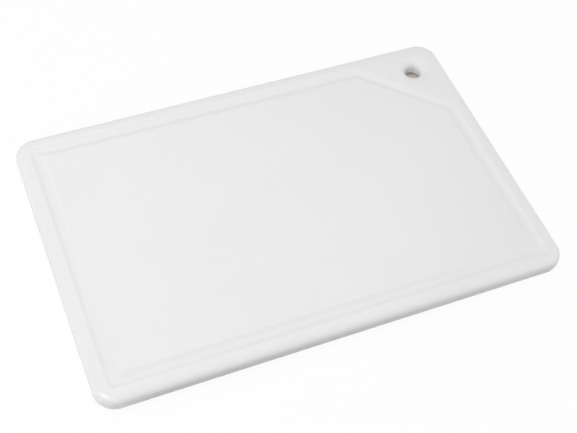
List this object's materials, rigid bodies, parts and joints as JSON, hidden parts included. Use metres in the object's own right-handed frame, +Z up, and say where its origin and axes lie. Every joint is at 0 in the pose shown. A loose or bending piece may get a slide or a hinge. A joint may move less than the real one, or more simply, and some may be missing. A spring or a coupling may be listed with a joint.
{
  "type": "cutting board",
  "caption": "Rectangular plastic cutting board with a fully rounded edge, a juice groove that cuts diagonally past one corner, and a flared hanging hole in that corner.",
  "frame": {"origin": "middle of the underside, on the surface that the board lies on", "axes": "+X along the length, +Y along the width, with the hanging hole in the +X +Y corner, +Z up out of the cutting face"},
  "size_m": [0.45, 0.3, 0.018],
  "materials": {
    "board": "smooth white moulded polyethylene, satin gloss"
  },
  "bodies": {
    "root": {"board": "board"}
  },
  "joints": []
}
